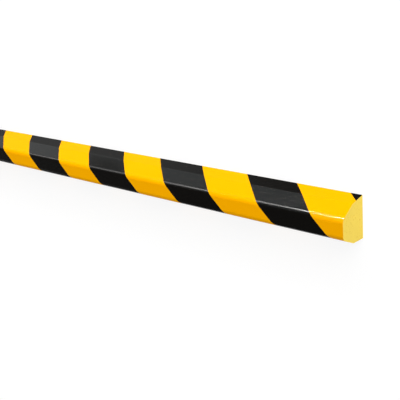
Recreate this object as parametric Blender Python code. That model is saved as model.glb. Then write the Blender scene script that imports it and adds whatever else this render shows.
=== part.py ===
"""Surface protection profile: one length of moulded foam bar with hazard stripes.

The bar lies on its flat back, the face that is fixed to a wall, a post or a machine.
+X runs along the bar, +Z points out of the crown, and the origin is the centre of the back.
All sizes are in metres.
"""

import math

import bmesh
import bpy
from mathutils import Matrix, Vector

# Length of bar, cut square at both ends
LENGTH = 1.000

# Section: a flat back, a foot that tapers a little, two slopes and a flat crown
BACK_WIDTH = 0.040
SHOULDER_WIDTH = 0.036
CROWN_WIDTH = 0.018
SHOULDER_HEIGHT = 0.0165
DEPTH = 0.033

# Roundings of the shoulders and of the crown, while the edges of the back stay sharp
SHOULDER_RADIUS = 0.004
CROWN_RADIUS = 0.006
ARC_STEP = math.radians(5.0)

# Stripes, laid out on the skin as if it were peeled off and spread flat
STRIPE_WIDTH = 0.040
STRIPE_ANGLE = math.radians(45.0)
FIRST_STRIPE_EDGE = 0.0095

# Shading: creases sharper than this stay crisp
CREASE_ANGLE = math.radians(30.0)

# Places of the materials in the bar's slots
YELLOW, BLACK, FOAM = range(3)


def clear_scene():
    """Remove what the open scene holds."""
    for old in list(bpy.data.objects):
        bpy.data.objects.remove(old, do_unlink=True)


def skin_material(name, colour, roughness, coat):
    """A smooth moulded skin or a cut foam face."""
    material = bpy.data.materials.new(name)
    material.use_nodes = True
    shader = material.node_tree.nodes["Principled BSDF"]
    shader.inputs["Base Color"].default_value = (*colour, 1.0)
    shader.inputs["Metallic"].default_value = 0.0
    shader.inputs["Roughness"].default_value = roughness
    shader.inputs["Coat Weight"].default_value = coat
    material.diffuse_color = (*colour, 1.0)
    return material


def fillet(before, corner, after, radius):
    """Points of the arc that rounds a corner, tangent to both of its sides."""
    to_before = (before - corner).normalized()
    to_after = (after - corner).normalized()
    half_angle = to_before.angle(to_after) / 2
    centre = corner + (to_before + to_after).normalized() * radius / math.sin(half_angle)
    spoke = corner + to_before * radius / math.tan(half_angle) - centre
    turn = math.pi - 2 * half_angle
    steps = max(2, round(turn / ARC_STEP))
    return [centre + Matrix.Rotation(turn * step / steps, 2) @ spoke for step in range(steps + 1)]


def mirrored(point):
    """The same point on the other side of the section."""
    return Vector((-point.x, point.y))


def section_outline():
    """The section's points (y, z), counter-clockwise from one edge of the back to the other."""
    back_edge = Vector((BACK_WIDTH / 2, 0.0))
    shoulder = Vector((SHOULDER_WIDTH / 2, SHOULDER_HEIGHT))
    crown_edge = Vector((CROWN_WIDTH / 2, DEPTH))
    rising_side = [back_edge]
    rising_side += fillet(back_edge, shoulder, crown_edge, SHOULDER_RADIUS)
    rising_side += fillet(shoulder, crown_edge, mirrored(crown_edge), CROWN_RADIUS)
    return rising_side + [mirrored(point) for point in reversed(rising_side)]


def girths_along(outline):
    """How far round the skin each point of the outline lies from the first one."""
    girths = [0.0]
    for start, end in zip(outline, outline[1:]):
        girths.append(girths[-1] + (end - start).length)
    return girths


def stripe_rings(bm, outline):
    """A ring of vertices for each stripe edge, from past the +X end to past the -X end.

    An edge moves towards +X as it goes round the skin, at the stripe angle, so it is straight
    on every flat of the section and bends only at the roundings.
    """
    girths = girths_along(outline)
    advance = 1 / math.tan(STRIPE_ANGLE)
    pitch = STRIPE_WIDTH / math.sin(STRIPE_ANGLE)
    first = math.floor(-FIRST_STRIPE_EDGE / pitch) - 1
    last = math.ceil((LENGTH - FIRST_STRIPE_EDGE + girths[-1] * advance) / pitch) + 1
    rings = {}
    for number in range(first, last + 1):
        start = LENGTH / 2 - FIRST_STRIPE_EDGE - number * pitch
        rings[number] = [
            bm.verts.new((start + girth * advance, point.x, point.y))
            for point, girth in zip(outline, girths)
        ]
    return rings


def stripe_faces(bm, rings):
    """Faces between neighbouring rings: skin in one colour for each stripe, and the plain back."""
    numbers = sorted(rings)
    for number, following in zip(numbers, numbers[1:]):
        near, far = rings[number], rings[following]
        skin = YELLOW if number % 2 == 0 else BLACK
        for index in range(len(near)):
            other = (index + 1) % len(near)
            face = bm.faces.new((near[index], near[other], far[other], far[index]))
            face.material_index = FOAM if other == 0 else skin


def cut_end(bm, side):
    """Cut the bar square at one end, +1 or -1, and close the cut with one foam face."""
    cut = bmesh.ops.bisect_plane(
        bm,
        geom=bm.verts[:] + bm.edges[:] + bm.faces[:],
        plane_co=(side * LENGTH / 2, 0.0, 0.0),
        plane_no=(side, 0.0, 0.0),
        clear_outer=True,
    )
    rim = [item for item in cut["geom_cut"] if isinstance(item, bmesh.types.BMEdge)]
    end_faces = bmesh.ops.edgeloop_fill(bm, edges=rim)["faces"]
    for face in end_faces:
        face.material_index = FOAM


def merge_back(bm):
    """Join the facets of the flat back into one face."""
    facets = [face for face in bm.faces if face.normal.z < -math.cos(ARC_STEP / 4)]
    bmesh.ops.dissolve_faces(bm, faces=facets)


def build_profile():
    """The whole bar: striped skin, plain back and two square-cut ends."""
    bm = bmesh.new()
    rings = stripe_rings(bm, section_outline())
    stripe_faces(bm, rings)
    cut_end(bm, +1)
    cut_end(bm, -1)
    bmesh.ops.recalc_face_normals(bm, faces=bm.faces[:])
    bm.normal_update()
    merge_back(bm)
    mesh = bpy.data.meshes.new("profile")
    bm.to_mesh(mesh)
    bm.free()
    mesh.materials.append(skin_material("yellow_skin", (0.95, 0.42, 0.0), 0.30, 0.3))
    mesh.materials.append(skin_material("black_skin", (0.012, 0.012, 0.013), 0.30, 0.3))
    mesh.materials.append(skin_material("cut_foam", (0.89, 0.66, 0.11), 0.85, 0.0))
    mesh.shade_smooth()
    mesh.set_sharp_from_angle(angle=CREASE_ANGLE)
    profile = bpy.data.objects.new("profile", mesh)
    bpy.context.scene.collection.objects.link(profile)
    shading = profile.modifiers.new("flats_shade_flat", "WEIGHTED_NORMAL")
    shading.keep_sharp = True
    return profile


clear_scene()
build_profile()
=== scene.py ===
"""Looks of the surface protection profile: a foam guard bar with hazard stripes.

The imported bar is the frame. One detailed piece stands for it, with finer roundings, open foam
cells on both cut ends and procedural materials. All sizes are in metres. The bar lies on its
flat back at z = 0 and runs along X, and the camera looks along it from past its +X end.
"""

import math

import bmesh
import bpy
import numpy as np
from mathutils import Matrix, Quaternion, Vector
from mathutils.geometry import delaunay_2d_cdt


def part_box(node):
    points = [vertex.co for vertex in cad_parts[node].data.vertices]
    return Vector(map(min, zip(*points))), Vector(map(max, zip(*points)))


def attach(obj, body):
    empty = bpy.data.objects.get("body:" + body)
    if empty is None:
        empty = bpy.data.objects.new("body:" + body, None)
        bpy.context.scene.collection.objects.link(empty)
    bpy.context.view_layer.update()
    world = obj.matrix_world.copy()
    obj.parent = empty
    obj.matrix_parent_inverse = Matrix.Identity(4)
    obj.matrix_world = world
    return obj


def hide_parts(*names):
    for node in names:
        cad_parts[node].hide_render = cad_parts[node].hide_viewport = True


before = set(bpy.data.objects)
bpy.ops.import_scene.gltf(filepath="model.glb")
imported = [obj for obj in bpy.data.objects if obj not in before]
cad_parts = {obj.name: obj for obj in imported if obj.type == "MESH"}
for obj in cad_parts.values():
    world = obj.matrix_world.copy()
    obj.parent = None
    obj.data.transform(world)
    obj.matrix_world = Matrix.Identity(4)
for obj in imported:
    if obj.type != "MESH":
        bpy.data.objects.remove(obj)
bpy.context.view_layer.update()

# Section, with its overall sizes read from the frame
LOW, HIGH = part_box("profile")
LENGTH = HIGH.x - LOW.x
BACK_WIDTH = HIGH.y - LOW.y
DEPTH = HIGH.z - LOW.z
SHOULDER_WIDTH = 0.036
CROWN_WIDTH = 0.018
SHOULDER_HEIGHT = 0.0165
SHOULDER_RADIUS = 0.004
CROWN_RADIUS = 0.006
ARC_STEP = math.radians(2.5)

# Stripes, laid out on the skin as if it were peeled off and spread flat
STRIPE_WIDTH = 0.040
STRIPE_ANGLE = math.radians(45.0)
FIRST_STRIPE_EDGE = 0.0095

# The painted edges near the camera lie a little off their even places, and lean a little.
# For each edge: its drift along X at the +Y edge of the back, and what comes on top at the crown.
EDGE_DRIFTS = {
    0: (-0.0016, 0.0),
    1: (0.0010, -0.0016),
    2: (0.0014, -0.0014),
    3: (0.0017, -0.0011),
    4: (-0.0002, -0.0008),
    5: (0.0010, -0.0020),
    6: (0.0006, -0.0037),
    7: (0.0037, -0.0040),
    8: (0.0009, -0.0011),
    9: (0.0000, 0.0037),
}

# Cut ends: a thin dense rind round foam with open cells, and a few larger pores at (y, z).
# Rows, jitter and clearance are shares of the grid, and a pore's depth is a share of its radius.
RIND = 0.0005
CELL_GRID = 0.00034
CELL_ROWS = math.sqrt(0.75)
CELL_JITTER = 0.22
CELL_CLEARANCE = 0.5
CELL_DEPTH = 0.00005
SMALL_PORES = 150
SMALL_PORE_RADIUS = (0.0003, 0.0006)
LARGE_PORE_RADIUS = 0.0007
PORE_DEPTH = 0.7
LARGE_PORES = (
    (0.0085, 0.0243),
    (0.0063, 0.0169),
    (0.0066, 0.0150),
    (0.0033, 0.0153),
    (0.0037, 0.0120),
    (-0.0009, 0.0052),
)
SEED = 7

# Settings of the triangulation: only what lies inside the ring, and when two points are one
INSIDE_ONLY = 1
SAME_PLACE = 1e-9

# Places of the materials in the bar's slots
YELLOW, YELLOW_EDGE, BLACK, FOAM, RIM, BACK = range(6)

# The yellow stripe at the near end, the only one whose crown edges gleam like the black.
# Its gloss, and the plain yellow's lack of it, match the photograph and are no known property.
GLEAMING_STRIPE = 0

# Colours of skin and foam, each as its lightest and its darkest, and the painted shade at a pore's
# bottom
YELLOWS = ((0.942, 0.416, 0.0), (0.932, 0.405, 0.0))
BLACKS = ((0.0040, 0.0031, 0.0024), (0.0032, 0.0025, 0.0019))
CORE_YELLOWS = ((0.89, 0.675, 0.112), (0.86, 0.645, 0.098))
RIND_YELLOWS = ((0.88, 0.625, 0.073), (0.86, 0.605, 0.063))
BACK_YELLOWS = ((0.88, 0.62, 0.10), (0.84, 0.57, 0.08))
PAINTED_PORE_SHADE = (0.62, 0.36, 0.03)

# Gloss of the moulded skin: specular level and tint of each kind, and the range of its roughness
YELLOW_GLOSS = (0.012, (1.0, 0.8, 0.5))
EDGE_GLOSS = (0.13, (0.4, 0.4, 1.0))
BLACK_GLOSS = (0.25, (0.82, 0.97, 1.0))
SKIN_ROUGHNESS = (0.175, 0.205)

# Unevenness of the skin: features to a metre and detail of each noise, and heights of its relief
COLOUR_CLOUDS = (14.0, 3.0)
GLOSS_CLOUDS = (45.0, 4.0)
SWELLS = (22.0, 1.0)
PEEL = (420.0, 2.0)
SWELL_HEIGHT = 0.00012
PEEL_HEIGHT = 0.000006
EDGE_PEEL_HEIGHT = 0.000001

# Grain of the bare foam: features to a metre and height of each kind, and its detail and roughness
CORE_GRAIN = (1300.0, 0.00006)
RIND_GRAIN = (900.0, 0.00002)
BACK_GRAIN = (700.0, 0.00006)
GRAIN_NOISE = (3.0, 0.6)
RELIEF_FINENESS = 1.7
RELIEF_DETAIL = 2.0
FOAM_ROUGHNESS = 0.9
FOAM_SPECULAR = 0.2

# The middle of a noise's range, over which a colour or a number changes
NOISE_RANGE = (0.3, 0.7)

# Camera, in the frame's coordinates
LENS = 62.2
CAMERA_PLACE = Vector((0.76589, 0.23961, 0.48424))
CAMERA_AIM = Vector((0.31447, -0.01836, 0.0))
CAMERA_ROLL = math.radians(117.385)
CAMERA_CLIP = (0.01, 100.0)

# Studio: white, and a floor of white paper just under the bar
WHITE = (1.0, 1.0, 1.0)
FLOOR_SIZE = 30.0
FLOOR_DROP = 0.0002
FLOOR_PAPER = 0.85

# The floor as the camera sees it: paper and glow, and where the glow becomes full
SHOWN_PAPER = 0.24
FLOOR_GLOW = 0.82
GLOW_RUN = (0.60, 1.30)

# The floor as the skin mirrors it, with painted shade beside the foot: where along X that painted shade
# deepens, from and to what brightness, and how far beside the bar it reaches
FOOT_RUN = (0.24, 0.46)
FOOT_DARKNESS = (0.25, 0.08)
FOOT_REACH = (0.016, 0.030)

# World: the elevations between which it turns dark, what is left overhead, and where the white
# half dome over the +X side starts and is full
DARK_ABOVE = (13.0, 24.0)
OVERHEAD = 0.09
DOME_EDGE = (-0.15, 0.25)

# Cards that only the bar's reflections show: place, width and height, and brightness
CARDS = {
    "long_card": (Vector((-0.6, -0.25, 0.075)), (3.0, 0.15), 0.01),
    "short_card": (Vector((0.080, 0.128, 0.023)), (0.080, 0.046), 0.35),
    "high_card": (Vector((-2.5, 3.0, 3.3)), (7.0, 3.4), 0.7),
}

# Soft lamps for the faces: azimuth and elevation in degrees, distance, width, height, and power
SOFT_BOXES = {
    "key": (55.0, 30.0, 4.0, 2.4, 2.0, 59.0),
    "side": (92.0, 15.0, 4.0, 2.4, 1.6, 46.0),
    "far_side": (125.0, 15.0, 4.0, 2.4, 1.6, 70.0),
}

# Low strip lamps for the gleam along the crown's edge: the place along X that each one shines on,
# azimuth and elevation from there, distance, width, height, power, and spread of the beam
GLEAM_STRIPS = {
    "end_strip": (0.494, 117.0, 16.0, 0.5, 0.035, 0.105, 0.56, 70.0),
    "second_strip": (0.470, 122.0, 17.0, 0.5, 0.026, 0.088, 0.095, 70.0),
    "near_strip": (0.425, 126.5, 18.0, 2.2, 0.100, 0.385, 0.066, 20.0),
    "middle_strip": (0.375, 130.6, 20.0, 2.2, 0.154, 0.346, 0.050, 20.0),
    "high_strip": (0.320, 134.6, 22.0, 2.2, 0.192, 0.346, 0.043, 20.0),
    "far_strip": (0.220, 141.0, 24.0, 2.2, 0.192, 0.346, 0.024, 20.0),
    "last_strip": (0.100, 146.6, 18.0, 2.2, 0.231, 0.346, 0.023, 20.0),
}

# Crown's edge on the +Y side (y, z), where the gleam runs, and the colour of the strips' light:
# a little warm, so that the gleam comes out neutral on the skin's bluish gloss
RIDGE = (0.0115, 0.031)
GLEAM_COLOUR = (1.0, 0.86, 0.82)


def fillet(before, corner, after, radius):
    """Points of the arc that rounds a corner, tangent to both of its sides."""
    to_before = (before - corner).normalized()
    to_after = (after - corner).normalized()
    half_angle = to_before.angle(to_after) / 2
    centre = corner + (to_before + to_after).normalized() * radius / math.sin(half_angle)
    spoke = corner + to_before * radius / math.tan(half_angle) - centre
    turn = math.pi - 2 * half_angle
    steps = max(2, round(turn / ARC_STEP))
    return [centre + Matrix.Rotation(turn * step / steps, 2) @ spoke for step in range(steps + 1)]


def mirrored(point):
    """The same point on the other side of the section."""
    return Vector((-point.x, point.y))


def section_outline():
    """The section's points (y, z), counter-clockwise from one edge of the back to the other."""
    back_edge = Vector((BACK_WIDTH / 2, 0.0))
    shoulder = Vector((SHOULDER_WIDTH / 2, SHOULDER_HEIGHT))
    crown_edge = Vector((CROWN_WIDTH / 2, DEPTH))
    rising_side = [back_edge]
    rising_side += fillet(back_edge, shoulder, crown_edge, SHOULDER_RADIUS)
    rising_side += fillet(shoulder, crown_edge, mirrored(crown_edge), CROWN_RADIUS)
    return rising_side + [mirrored(point) for point in reversed(rising_side)]


def girths_along(outline):
    """How far round the skin each point of the outline lies from the first one."""
    girths = [0.0]
    for start, end in zip(outline, outline[1:]):
        girths.append(girths[-1] + (end - start).length)
    return girths


def stripe_rings(bm, outline):
    """A slanted ring of vertices for each stripe edge, from past one end to past the other."""
    girths = girths_along(outline)
    advance = 1 / math.tan(STRIPE_ANGLE)
    pitch = STRIPE_WIDTH / math.sin(STRIPE_ANGLE)
    first = math.floor(-FIRST_STRIPE_EDGE / pitch) - 1
    last = math.ceil((LENGTH - FIRST_STRIPE_EDGE + girths[-1] * advance) / pitch) + 1
    rings = {}
    for number in range(first, last + 1):
        drift, lean = EDGE_DRIFTS.get(number, (0.0, 0.0))
        start = LENGTH / 2 - FIRST_STRIPE_EDGE - number * pitch + drift
        rings[number] = []
        for point, girth in zip(outline, girths):
            along = start + girth * advance + lean * min(1.0, girth / girths[-1] * 2)
            rings[number].append(bm.verts.new((along, point.x, point.y)))
    return rings


def on_crown_edge(start, end):
    """Whether a stretch of the outline lies on a rounding between a slope and the crown."""
    slope_tilt = math.atan2(DEPTH - SHOULDER_HEIGHT, (SHOULDER_WIDTH - CROWN_WIDTH) / 2)
    tilt = math.atan2(abs(end.y - start.y), abs(end.x - start.x))
    return ARC_STEP / 4 < tilt < slope_tilt - ARC_STEP / 4


def stripe_faces(bm, rings, outline):
    """Faces between neighbouring rings: odd stripes in black, even ones in yellow, and the back."""
    numbers = sorted(rings)
    for number, following in zip(numbers, numbers[1:]):
        near, far = rings[number], rings[following]
        for index in range(len(near)):
            other = (index + 1) % len(near)
            face = bm.faces.new((near[index], near[other], far[other], far[index]))
            if other == 0:
                face.material_index = BACK
            elif number % 2 == 1:
                face.material_index = BLACK
            elif number == GLEAMING_STRIPE and on_crown_edge(outline[index], outline[other]):
                face.material_index = YELLOW_EDGE
            else:
                face.material_index = YELLOW


def rim_in_order(cut_edges):
    """The vertices of a closed rim of edges, one after the other."""
    ordered = [cut_edges[0].verts[0], cut_edges[0].verts[1]]
    rim = set(cut_edges)
    while True:
        last = ordered[-1]
        steps = [edge.other_vert(last) for edge in last.link_edges if edge in rim]
        following = [vert for vert in steps if vert is not ordered[-2]][0]
        if following is ordered[0]:
            return ordered
        ordered.append(following)


def inset(points, distance):
    """A closed convex outline moved inwards by a distance, with mitred corners."""
    count = len(points)
    centre = sum(points, Vector((0.0, 0.0))) / count
    moved = []
    for index, point in enumerate(points):
        before = (point - points[index - 1]).normalized()
        after = (points[(index + 1) % count] - point).normalized()
        normal_before = Vector((-before.y, before.x))
        normal_after = Vector((-after.y, after.x))
        if normal_before.dot(centre - point) < 0:
            normal_before, normal_after = -normal_before, -normal_after
        mitre = normal_before + normal_after
        moved.append(point + mitre * distance / (1 + normal_before.dot(normal_after)))
    return moved


def inside_points(outline, spacing, rng):
    """Points of a jittered grid that lie inside a convex outline, clear of its edge."""
    corners = np.array([tuple(point) for point in outline])
    low, high = corners.min(axis=0), corners.max(axis=0)
    across, up = np.meshgrid(
        np.arange(low[0], high[0], spacing), np.arange(low[1], high[1], spacing * CELL_ROWS)
    )
    across[1::2] += spacing / 2
    grid = np.stack([across.ravel(), up.ravel()], axis=1)
    grid += rng.uniform(-CELL_JITTER, CELL_JITTER, grid.shape) * spacing
    edges = np.roll(corners, -1, axis=0) - corners
    normals = np.stack([-edges[:, 1], edges[:, 0]], axis=1)
    normals /= np.linalg.norm(normals, axis=1)[:, None]
    centre = corners.mean(axis=0)
    normals *= np.sign(((centre - corners) * normals).sum(axis=1))[:, None]
    clearance = ((grid[:, None, :] - corners[None]) * normals[None]).sum(axis=2).min(axis=1)
    return grid[clearance > spacing * CELL_CLEARANCE]


def pore_depths(points, rng):
    """How deep the foam lies below the cut at each point: fine cells and round pores."""
    depths = rng.uniform(0.0, CELL_DEPTH, len(points))
    low, high = points.min(axis=0), points.max(axis=0)
    centres = rng.uniform(low, high, (SMALL_PORES, 2))
    radii = rng.uniform(*SMALL_PORE_RADIUS, SMALL_PORES)
    centres = np.concatenate([centres, np.array(LARGE_PORES)])
    radii = np.concatenate([radii, np.full(len(LARGE_PORES), LARGE_PORE_RADIUS)])
    for centre, radius in zip(centres, radii):
        reach = np.linalg.norm(points - centre, axis=1) / radius
        bowl = np.clip(1 - reach**2, 0, None)
        depths = np.maximum(depths, bowl * radius * PORE_DEPTH)
    return depths


def cut_end(bm, side, depth_layer):
    """Cut the bar square at one end, +1 or -1, and close it with a rind and open-celled foam."""
    cut = bmesh.ops.bisect_plane(
        bm,
        geom=bm.verts[:] + bm.edges[:] + bm.faces[:],
        plane_co=(side * LENGTH / 2, 0.0, 0.0),
        plane_no=(side, 0.0, 0.0),
        clear_outer=True,
    )
    rim = rim_in_order([item for item in cut["geom_cut"] if isinstance(item, bmesh.types.BMEdge)])
    inner = inset([vert.co.yz for vert in rim], RIND)
    rng = np.random.default_rng(SEED + side)
    filling = inside_points(inner, CELL_GRID, rng)
    depths = pore_depths(filling, rng)
    border = [bm.verts.new((side * LENGTH / 2, point.x, point.y)) for point in inner]
    for index in range(len(rim)):
        other = (index + 1) % len(rim)
        face = bm.faces.new((rim[index], rim[other], border[other], border[index]))
        face.material_index = RIM
    cells = [
        bm.verts.new((side * (LENGTH / 2 - depth), point[0], point[1]))
        for point, depth in zip(filling, depths)
    ]
    for vert, depth in zip(cells, depths):
        vert[depth_layer] = depth / LARGE_PORE_RADIUS
    verts = border + cells
    flat = [vert.co.yz for vert in verts]
    ring = list(range(len(border)))
    triangles, origins = delaunay_2d_cdt(flat, [], [ring], INSIDE_ONLY, SAME_PLACE)[2:4]
    for corners in triangles:
        face = bm.faces.new([verts[origins[corner][0]] for corner in corners])
        face.material_index = FOAM


def merge_back(bm):
    """Join the facets of the flat back into one face."""
    facets = [face for face in bm.faces if face.material_index == BACK]
    bmesh.ops.dissolve_faces(bm, faces=facets)


def mark_creases(bm):
    """Keep the edges crisp where skin, rind, foam and back meet at an angle."""
    skins = {YELLOW, YELLOW_EDGE, BLACK}
    for edge in bm.edges:
        kinds = {face.material_index for face in edge.link_faces}
        edge.smooth = kinds <= skins or kinds <= {FOAM, RIM} or kinds == {BACK}


def build_bar():
    """The whole bar as one closed mesh: striped skin, plain back and two cut ends."""
    bm = bmesh.new()
    depth_layer = bm.verts.layers.float.new("pore_depth")
    outline = section_outline()
    stripe_faces(bm, stripe_rings(bm, outline), outline)
    cut_end(bm, +1, depth_layer)
    cut_end(bm, -1, depth_layer)
    merge_back(bm)
    bmesh.ops.recalc_face_normals(bm, faces=bm.faces[:])
    mark_creases(bm)
    mesh = bpy.data.meshes.new("striped_bar")
    for face in bm.faces:
        face.smooth = True
    bm.to_mesh(mesh)
    bm.free()
    for material in (yellow_skin(), yellow_edge(), black_skin(), cut_foam(), cut_rind(), back_foam()):
        mesh.materials.append(material)
    bar = bpy.data.objects.new("striped_bar", mesh)
    bpy.context.scene.collection.objects.link(bar)
    shading = bar.modifiers.new("flats_shade_flat", "WEIGHTED_NORMAL")
    shading.keep_sharp = True
    return bar


class Nodes:
    """A material's node tree, with short ways to add nodes and links."""

    def __init__(self, name):
        self.material = bpy.data.materials.new(name)
        self.material.use_nodes = True
        self.tree = self.material.node_tree
        self.shader = self.tree.nodes["Principled BSDF"]
        self.place = self.add("ShaderNodeTexCoord").outputs["Object"]

    def add(self, kind, **settings):
        node = self.tree.nodes.new(kind)
        for name, value in settings.items():
            setattr(node, name, value)
        return node

    def link(self, source, target):
        self.tree.links.new(source, target)

    def noise(self, scale, detail, roughness=0.5):
        """Noise over the object, with about scale features to a metre."""
        node = self.add("ShaderNodeTexNoise")
        node.inputs["Scale"].default_value = scale
        node.inputs["Detail"].default_value = detail
        node.inputs["Roughness"].default_value = roughness
        self.link(self.place, node.inputs["Vector"])
        return node.outputs["Fac"]

    def ramp(self, factor, low, high):
        """A colour that goes from low to high over the middle of a noise's range."""
        node = self.add("ShaderNodeValToRGB")
        first, last = node.color_ramp.elements
        first.position, last.position = NOISE_RANGE
        first.color = (*low, 1.0)
        last.color = (*high, 1.0)
        self.link(factor, node.inputs["Fac"])
        return node.outputs["Color"]

    def spread(self, factor, low, high):
        """A number that goes from low to high over the middle of a noise's range."""
        node = self.add("ShaderNodeMapRange")
        node.inputs["From Min"].default_value, node.inputs["From Max"].default_value = NOISE_RANGE
        node.inputs["To Min"].default_value = low
        node.inputs["To Max"].default_value = high
        self.link(factor, node.inputs["Value"])
        return node.outputs["Result"]

    def bump(self, height, distance, under=None):
        """Relief of the given height in metres, laid over another relief if there is one."""
        node = self.add("ShaderNodeBump")
        node.inputs["Strength"].default_value = 1.0
        node.inputs["Distance"].default_value = distance
        self.link(height, node.inputs["Height"])
        if under is not None:
            self.link(under, node.inputs["Normal"])
        return node.outputs["Normal"]


def skin(name, light, dark, specular, tint, peel_height=PEEL_HEIGHT):
    """Smooth moulded skin: a little cloudy in colour and gloss, with a faint orange peel."""
    nodes = Nodes(name)
    shader = nodes.shader
    nodes.link(nodes.ramp(nodes.noise(*COLOUR_CLOUDS), dark, light), shader.inputs["Base Color"])
    nodes.link(nodes.spread(nodes.noise(*GLOSS_CLOUDS), *SKIN_ROUGHNESS), shader.inputs["Roughness"])
    swell = nodes.bump(nodes.noise(*SWELLS), SWELL_HEIGHT)
    peel = nodes.bump(nodes.noise(*PEEL), peel_height, under=swell)
    nodes.link(peel, shader.inputs["Normal"])
    shader.inputs["Specular IOR Level"].default_value = specular
    shader.inputs["Specular Tint"].default_value = (*tint, 1.0)
    return nodes.material


def yellow_skin():
    """The plain yellow of the stripes."""
    return skin("yellow_skin", *YELLOWS, *YELLOW_GLOSS)


def yellow_edge():
    """The same yellow, smoother and glossier, so that the crown's edges gleam at the near end."""
    return skin("yellow_edge", *YELLOWS, *EDGE_GLOSS, EDGE_PEEL_HEIGHT)


def black_skin():
    """The glossy black of the stripes."""
    return skin("black_skin", *BLACKS, *BLACK_GLOSS)


def foam(name, light, dark, grain, relief):
    """Matt foam with fine cells, and painted shade inside its pores that darkens with their depth."""
    nodes = Nodes(name)
    shader = nodes.shader
    colour = nodes.ramp(nodes.noise(grain, *GRAIN_NOISE), dark, light)
    # Painted shade: the colour darkens towards the pore colour as the pore gets deeper
    pore = nodes.add("ShaderNodeAttribute", attribute_name="pore_depth")
    shade = nodes.add("ShaderNodeMix", data_type="RGBA")
    nodes.link(pore.outputs["Fac"], shade.inputs["Factor"])
    nodes.link(colour, shade.inputs["A"])
    shade.inputs["B"].default_value = (*PAINTED_PORE_SHADE, 1.0)
    nodes.link(shade.outputs["Result"], shader.inputs["Base Color"])
    relief_noise = nodes.noise(grain * RELIEF_FINENESS, RELIEF_DETAIL)
    nodes.link(nodes.bump(relief_noise, relief), shader.inputs["Normal"])
    shader.inputs["Roughness"].default_value = FOAM_ROUGHNESS
    shader.inputs["Specular IOR Level"].default_value = FOAM_SPECULAR
    return nodes.material


def cut_foam():
    """The core that the saw laid open."""
    return foam("cut_foam", *CORE_YELLOWS, *CORE_GRAIN)


def cut_rind():
    """The denser foam just under the skin, where the saw went through it."""
    return foam("cut_rind", *RIND_YELLOWS, *RIND_GRAIN)


def back_foam():
    """The plain foam of the flat back."""
    return foam("back_foam", *BACK_YELLOWS, *BACK_GRAIN)


def mix_shaders(tree, factor, first, second):
    """One shader that goes from the first to the second with the factor."""
    node = tree.nodes.new("ShaderNodeMixShader")
    tree.links.new(factor, node.inputs["Fac"])
    tree.links.new(first, node.inputs[1])
    tree.links.new(second, node.inputs[2])
    return node.outputs["Shader"]


def glow_shader(tree, strength):
    """White light of a given strength, a number or a socket."""
    node = tree.nodes.new("ShaderNodeEmission")
    node.inputs["Color"].default_value = (*WHITE, 1.0)
    if isinstance(strength, float):
        node.inputs["Strength"].default_value = strength
    else:
        tree.links.new(strength, node.inputs["Strength"])
    return node.outputs["Emission"]


def paper_shader(tree, shade):
    """Matt white or grey paper."""
    node = tree.nodes.new("ShaderNodeBsdfDiffuse")
    node.inputs["Color"].default_value = (shade, shade, shade, 1.0)
    return node.outputs["BSDF"]


def bare_material(name):
    """A material without any nodes."""
    material = bpy.data.materials.new(name)
    material.use_nodes = True
    material.node_tree.nodes.clear()
    return material


def show_shader(tree, shader):
    """Make a shader the surface of its material."""
    out = tree.nodes.new("ShaderNodeOutputMaterial")
    tree.links.new(shader, out.inputs["Surface"])


def white_floor():
    """Paper that looks white to the camera and keeps the bar's shadow, and in reflections glows white
    with painted shade beside the bar's foot.
    """
    material = bare_material("white_floor")
    tree = material.node_tree
    path = tree.nodes.new("ShaderNodeLightPath").outputs
    seen = math_node(tree, "MAXIMUM", path["Is Camera Ray"], path["Is Transmission Ray"])
    shown = tree.nodes.new("ShaderNodeAddShader")
    tree.links.new(paper_shader(tree, SHOWN_PAPER), shown.inputs[0])
    tree.links.new(glow_shader(tree, shown_glow(tree)), shown.inputs[1])
    shaded = mix_shaders(tree, seen, paper_shader(tree, FLOOR_PAPER), shown.outputs["Shader"])
    # Reflections see a glow with painted shade beside the foot, in place of the lit paper
    reflected = glow_shader(tree, painted_foot_shade(tree))
    show_shader(tree, mix_shaders(tree, path["Is Glossy Ray"], shaded, reflected))
    return material


def shown_glow(tree):
    """How much the floor glows for the camera: less round the bar, where its shadow falls."""
    place = tree.nodes.new("ShaderNodeTexCoord").outputs["Object"]
    distance = tree.nodes.new("ShaderNodeVectorMath")
    distance.operation = "LENGTH"
    tree.links.new(place, distance.inputs[0])
    return smooth_step(tree, distance.outputs["Value"], *GLOW_RUN, FLOOR_GLOW, 1.0)


def painted_foot_shade(tree):
    """How bright the floor looks in the bar's skin: painted shade beside the foot, white further off.

    The painted shade grows deeper towards the end near the camera.
    """
    place = tree.nodes.new("ShaderNodeTexCoord").outputs["Object"]
    split = tree.nodes.new("ShaderNodeSeparateXYZ")
    tree.links.new(place, split.inputs["Vector"])
    aside = math_node(tree, "ABSOLUTE", split.outputs["Y"])
    darkness = smooth_step(tree, split.outputs["X"], *FOOT_RUN, *FOOT_DARKNESS)
    start, end = (BACK_WIDTH / 2 + reach for reach in FOOT_REACH)
    away = smooth_step(tree, aside, start, end, 0.0, 1.0)
    return math_node(tree, "MAXIMUM", darkness, away)


def flat_sheet(name, size, material):
    """A level rectangle of the studio, with its middle at the origin."""
    bm = bmesh.new()
    bmesh.ops.create_grid(bm, x_segments=1, y_segments=1, size=0.5)
    bmesh.ops.scale(bm, vec=(*size, 1.0), verts=bm.verts[:])
    mesh = bpy.data.meshes.new(name)
    bm.to_mesh(mesh)
    bm.free()
    mesh.materials.append(material)
    sheet = bpy.data.objects.new(name, mesh)
    bpy.context.scene.collection.objects.link(sheet)
    return sheet


def card_paper(name, brightness):
    """An even white or grey that reflections find by themselves, without being sampled as a lamp."""
    material = bare_material(name)
    show_shader(material.node_tree, glow_shader(material.node_tree, brightness))
    material.cycles.emission_sampling = "NONE"
    return material


def stand_card(name, place, size, brightness):
    """An upright card along the bar, seen only in its reflections, that dims or lights a part."""
    card = flat_sheet(name, size, card_paper(name, brightness))
    card.location = place
    card.rotation_euler = (math.pi / 2, 0.0, 0.0)
    card.visible_camera = False
    card.visible_diffuse = False
    card.visible_shadow = False


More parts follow.
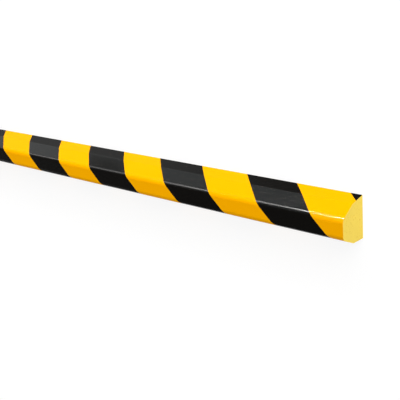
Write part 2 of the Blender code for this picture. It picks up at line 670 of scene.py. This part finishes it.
def lay_floor():
    """A plain white floor just under the bar."""
    floor = flat_sheet("floor", (FLOOR_SIZE, FLOOR_SIZE), white_floor())
    floor.location = (0.0, 0.0, -FLOOR_DROP)


def smooth_step(tree, value, start, end, low, high):
    """A number that eases from low to high as the value goes from start to end."""
    step = tree.nodes.new("ShaderNodeMapRange")
    step.interpolation_type = "SMOOTHSTEP"
    step.inputs["From Min"].default_value = start
    step.inputs["From Max"].default_value = end
    step.inputs["To Min"].default_value = low
    step.inputs["To Max"].default_value = high
    tree.links.new(value, step.inputs["Value"])
    return step.outputs["Result"]


def math_node(tree, operation, *sources):
    """The result of a math node on the outputs of other nodes."""
    node = tree.nodes.new("ShaderNodeMath")
    node.operation = operation
    for socket, source in zip(node.inputs, sources):
        tree.links.new(source, socket)
    return node.outputs["Value"]


def light_world():
    """A studio that is white round the horizon and over the +X side, and dark elsewhere."""
    world = bpy.data.worlds.new("studio")
    bpy.context.scene.world = world
    world.use_nodes = True
    tree = world.node_tree
    direction = tree.nodes.new("ShaderNodeTexCoord").outputs["Generated"]
    split = tree.nodes.new("ShaderNodeSeparateXYZ")
    tree.links.new(direction, split.inputs["Vector"])
    height, along = split.outputs["Z"], split.outputs["X"]
    start, end = (math.sin(math.radians(angle)) for angle in DARK_ABOVE)
    band = smooth_step(tree, height, start, end, 1.0, OVERHEAD)
    dome = smooth_step(tree, along, *DOME_EDGE, 0.0, 1.0)
    background = tree.nodes["Background"]
    tree.links.new(math_node(tree, "MAXIMUM", band, dome), background.inputs["Strength"])
    background.inputs["Color"].default_value = (*WHITE, 1.0)


def soft_box(name, azimuth, elevation, distance, width, height, power, glossy=True, diffuse=True):
    """A rectangular lamp that faces the origin, with azimuth counted from +X towards +Y."""
    data = bpy.data.lights.new(name, "AREA")
    data.shape = "RECTANGLE"
    data.size = width
    data.size_y = height
    data.energy = power
    lamp = bpy.data.objects.new(name, data)
    turn, rise = math.radians(azimuth), math.radians(elevation)
    outward = Vector((math.cos(turn) * math.cos(rise), math.sin(turn) * math.cos(rise), math.sin(rise)))
    lamp.location = outward * distance
    lamp.rotation_euler = (-outward).to_track_quat("-Z", "Y").to_euler()
    lamp.visible_camera = False
    lamp.visible_glossy = glossy
    lamp.visible_diffuse = diffuse
    bpy.context.scene.collection.objects.link(lamp)
    return lamp


def gleam_strip(name, along, azimuth, elevation, distance, width, height, power, spread):
    """A low strip lamp that only reflections show, aimed at one stretch of the crown's edge."""
    lamp = soft_box(name, azimuth, elevation, distance, width, height, power, diffuse=False)
    lamp.location = lamp.location + Vector((along, *RIDGE))
    lamp.data.spread = math.radians(spread)
    lamp.data.color = GLEAM_COLOUR


def light_studio():
    """Large soft lamps for the faces, and low strips for the gleam along the crown's edge."""
    for name, values in SOFT_BOXES.items():
        soft_box(name, *values, glossy=False)
    for name, values in GLEAM_STRIPS.items():
        gleam_strip(name, *values)


def place_camera():
    """The photograph's view: along the bar from above its cut end, with the camera rolled."""
    data = bpy.data.cameras.new("camera")
    data.lens = LENS
    data.clip_start, data.clip_end = CAMERA_CLIP
    camera = bpy.data.objects.new("camera", data)
    gaze = (CAMERA_AIM - CAMERA_PLACE).normalized()
    camera.location = CAMERA_PLACE
    camera.rotation_mode = "QUATERNION"
    camera.rotation_quaternion = Quaternion(gaze, CAMERA_ROLL) @ gaze.to_track_quat("-Z", "Y")
    bpy.context.scene.collection.objects.link(camera)
    bpy.context.scene.camera = camera


bar = build_bar()
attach(bar, "root")
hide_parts("profile")

lay_floor()
for card_name, card_values in CARDS.items():
    stand_card(card_name, *card_values)
light_world()
light_studio()
place_camera()
bpy.context.scene.view_settings.view_transform = "Standard"
